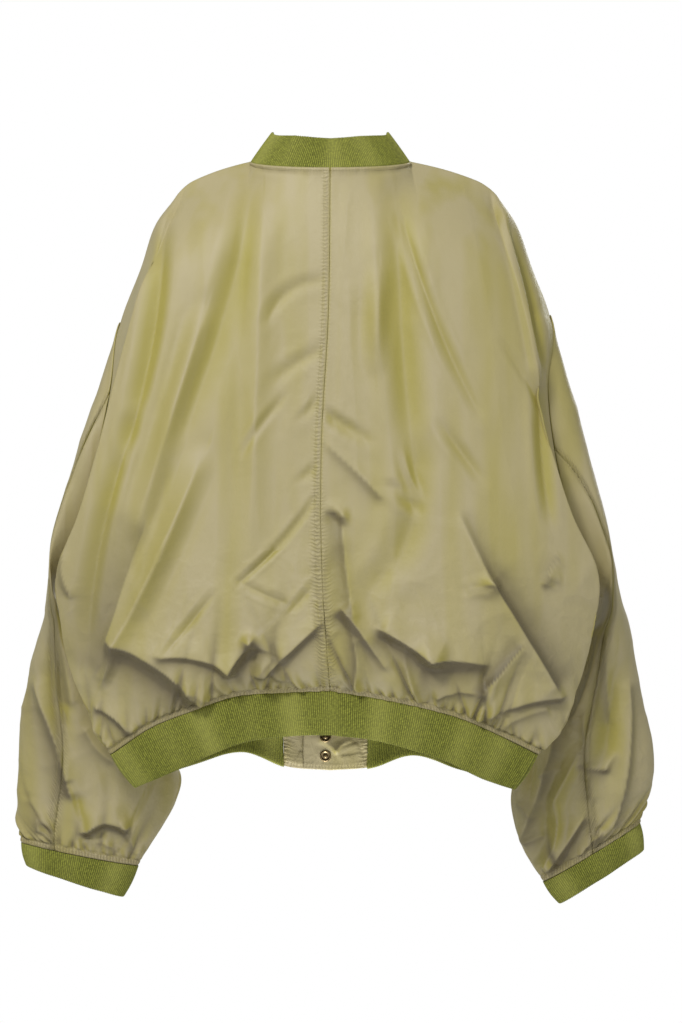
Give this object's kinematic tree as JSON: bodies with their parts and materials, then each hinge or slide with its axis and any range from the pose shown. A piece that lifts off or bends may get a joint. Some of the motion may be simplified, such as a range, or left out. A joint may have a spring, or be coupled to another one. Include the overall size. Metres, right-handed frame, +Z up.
{
  "type": "bomber jacket",
  "caption": "Wide dropped-shoulder bomber jacket in crisp two-tone nylon, with a knitted rib collar, cuffs and hem and a snap tab at the front of the hem, hung and filled out.",
  "frame": {"origin": "middle of the neck, level with the collar seam at the back", "axes": "+X to the wearer's right, +Y from the back to the front, +Z up"},
  "size_m": [0.8001, 0.2685, 0.9619],
  "materials": {
    "shell": "crisp woven nylon with a yellow cast at glancing angles",
    "rib": "matt rib knit, yellow olive",
    "snap": "satin"
  },
  "bodies": {
    "root": {"back_left": "shell", "back_right": "shell", "front_left": "shell", "front_right": "shell", "sleeve_outer_left": "shell", "sleeve_outer_right": "shell", "sleeve_under_left": "shell", "sleeve_under_right": "shell", "hem_tab_left": "shell", "hem_tab_right": "shell", "collar_rib": "rib", "hem_rib": "rib", "cuff_left": "rib", "cuff_right": "rib", "snap_cap_1": "snap", "snap_back_1": "snap", "snap_cap_2": "snap", "snap_back_2": "snap", "snap_cap_3": "snap", "snap_back_3": "snap", "snap_cap_4": "snap", "snap_back_4": "snap", "snap_cap_5": "snap", "snap_back_5": "snap", "snap_cap_6": "snap", "snap_back_6": "snap"}
  },
  "joints": []
}
